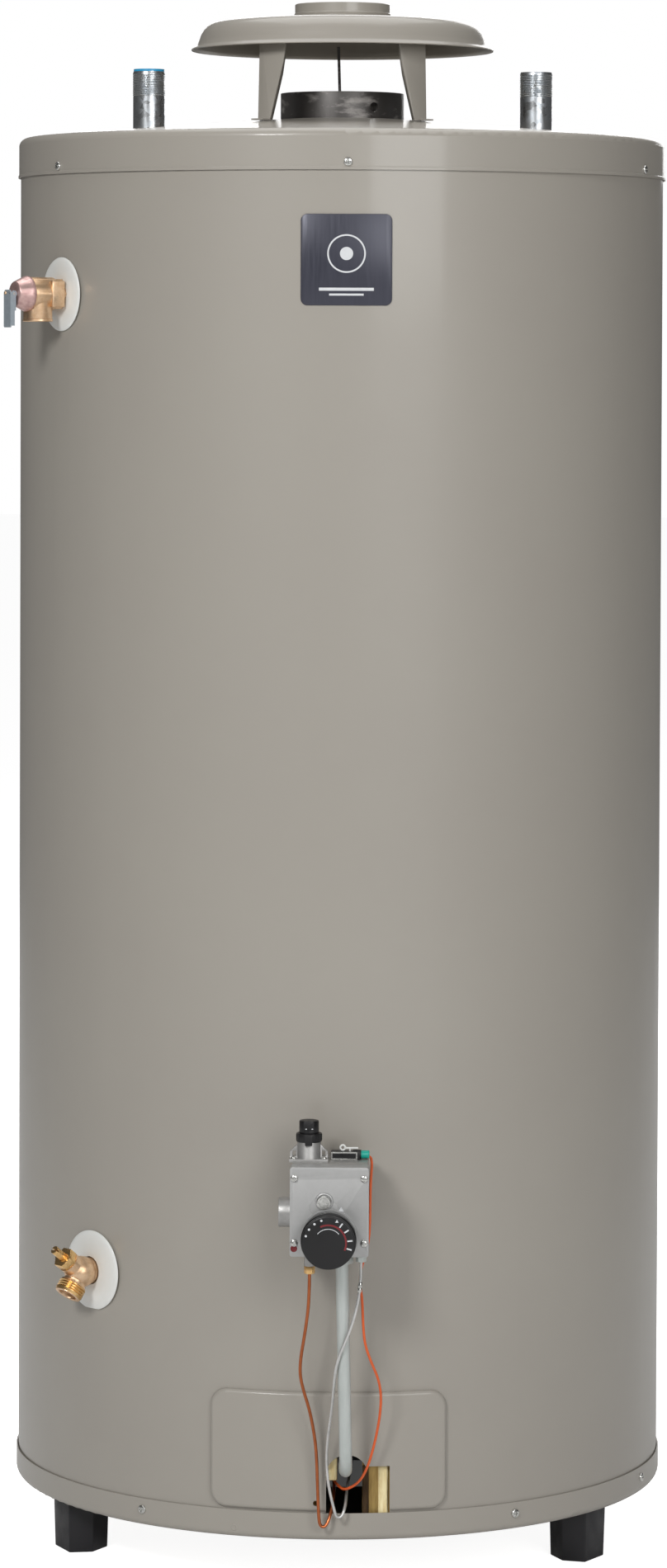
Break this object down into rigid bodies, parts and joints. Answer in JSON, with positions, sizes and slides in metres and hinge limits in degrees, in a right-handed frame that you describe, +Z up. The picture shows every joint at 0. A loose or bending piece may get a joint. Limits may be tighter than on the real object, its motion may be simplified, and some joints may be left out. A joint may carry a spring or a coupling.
{
  "type": "tank water heater",
  "caption": "Upright gas tank water heater on three feet: a grey cylinder with a draft hood and pipe nipples on top, relief and drain valves at the side and a gas control at the front.",
  "frame": {"origin": "on the floor, on the tank's axis", "axes": "+Z up; the front with the gas control faces -Y; the relief and drain valves are towards -X"},
  "size_m": [0.6782, 0.8007, 1.5975],
  "materials": {
    "grey_enamel": "satin grey enamel",
    "black_plate": "satin, dark grey",
    "galvanised_steel": "dull zinc coat",
    "bare_steel": "mill finish",
    "enamelled_tank": "glass enamel inside",
    "zinc_screw": "zinc plated",
    "black_plastic": "moulded",
    "white_plastic": "moulded",
    "green_plastic": "moulded",
    "blue_plastic": "moulded ring",
    "cast_aluminium": "die cast",
    "valve_paint": "satin",
    "manifold_paint": "grey green",
    "brass": "machined",
    "lever_steel": "zinc plated",
    "spring_steel": "drawn",
    "magnesium": "extruded",
    "foam": "rigid foam",
    "fibreglass": "matted",
    "copper": "bare copper",
    "orange_sleeve": "sleeve",
    "rubber_washer": "moulded",
    "nipple_steel": "zinc plated"
  },
  "bodies": {
    "heater": {"anode_rod": "magnesium", "badge_plate": "black_plate", "baffle_hanger": "bare_steel", "base_pan": "grey_enamel", "burner": "bare_steel", "casing_screws": "zinc_screw", "chamber_insulation": "fibreglass", "cold_nipple": "nipple_steel", "cold_nipple_ring": "blue_plastic", "dip_tube": "white_plastic", "draft_hood": "galvanised_steel", "drain_body": "brass", "drain_bonnet": "brass", "drain_escutcheon": "white_plastic", "flue_baffle": "bare_steel", "flue_collar": "bare_steel", "flue_tube": "bare_steel", "foam_insulation": "foam", "foot_left": "black_plastic", "foot_rear": "black_plastic", "foot_right": "black_plastic", "gas_valve_body": "cast_aluminium", "gas_valve_cover": "valve_paint", "gas_valve_plug": "zinc_screw", "gas_valve_screws": "zinc_screw", "hood_legs": "galvanised_steel", "hot_nipple": "nipple_steel", "igniter_clip": "white_plastic", "igniter_housing": "black_plastic", "igniter_wire": "orange_sleeve", "jacket": "grey_enamel", "knob_tower": "cast_aluminium", "manifold_tube": "manifold_paint", "pilot_assembly": "bare_steel", "pilot_tube": "copper", "relief_body": "brass", "relief_bonnet": "copper", "relief_escutcheon": "white_plastic", "relief_probe": "brass", "relief_spring": "spring_steel", "tank_bottom_head": "enamelled_tank", "tank_shell": "enamelled_tank", "tank_spuds": "bare_steel", "tank_top_head": "enamelled_tank", "thermocouple_lead": "bare_steel", "thermostat_probe": "copper", "top_cover": "grey_enamel", "tube_nuts": "brass"},
    "dial": {"temperature_dial": "black_plastic", "dial_shaft": "brass"},
    "gas_knob": {"gas_knob": "black_plastic"},
    "reset_button": {"reset_button": "black_plastic"},
    "igniter_button": {"igniter_button": "green_plastic"},
    "relief_stem": {"relief_stem": "brass"},
    "relief_lever": {"relief_lever": "lever_steel", "relief_lever_pin": "spring_steel"},
    "drain_washer": {"drain_washer": "rubber_washer"},
    "drain_stem": {"drain_stem": "brass"}
  },
  "joints": [
    {"name": "dial_turn", "type": "hinge", "parent": "heater", "child": "dial", "pos_m": [0.0033, -0.444, 0.3754], "axis": [0, -1, 0], "range_deg": [-110, 150]},
    {"name": "gas_knob_turn", "type": "hinge", "parent": "heater", "child": "gas_knob", "pos_m": [-0.0178, -0.39, 0.467], "axis": [0, 0, 1], "range_deg": [-90, 90]},
    {"name": "reset_press", "type": "slide", "parent": "gas_knob", "child": "reset_button", "axis": [0, 0, -1], "range_m": [0, 0.005], "stiffness_N_per_m": 600},
    {"name": "igniter_press", "type": "slide", "parent": "heater", "child": "igniter_button", "axis": [-1, 0, 0], "range_m": [0, 0.004], "stiffness_N_per_m": 1500},
    {"name": "relief_stem_lift", "type": "slide", "parent": "heater", "child": "relief_stem", "axis": [-0.8261, -0.5635, 0], "range_m": [0, 0.003], "deforming": ["relief_spring"]},
    {"name": "relief_lever_lift", "type": "hinge", "parent": "relief_stem", "child": "relief_lever", "pos_m": [-0.32718, -0.22319, 1.2914], "axis": [-0.5635, 0.8261, 0], "range_deg": [0, 80], "stiffness_Nm_per_rad": 0.3},
    {"name": "drain_washer_lift", "type": "slide", "parent": "heater", "child": "drain_washer", "axis": [-0.564, -0.5504, 0.6157], "range_m": [0, 0.0045]},
    {"name": "drain_stem_turn", "type": "hinge", "parent": "drain_washer", "child": "drain_stem", "pos_m": [-0.25303, -0.24693, 0.3055], "axis": [-0.564, -0.5504, 0.6157], "range_deg": [0, 1080]}
  ],
  "couplings": [
    {"joint": "relief_stem_lift", "follows": "relief_lever_lift", "m_per_rad": 0.002148},
    {"joint": "drain_washer_lift", "follows": "drain_stem_turn", "m_per_rad": 0.000238}
  ]
}
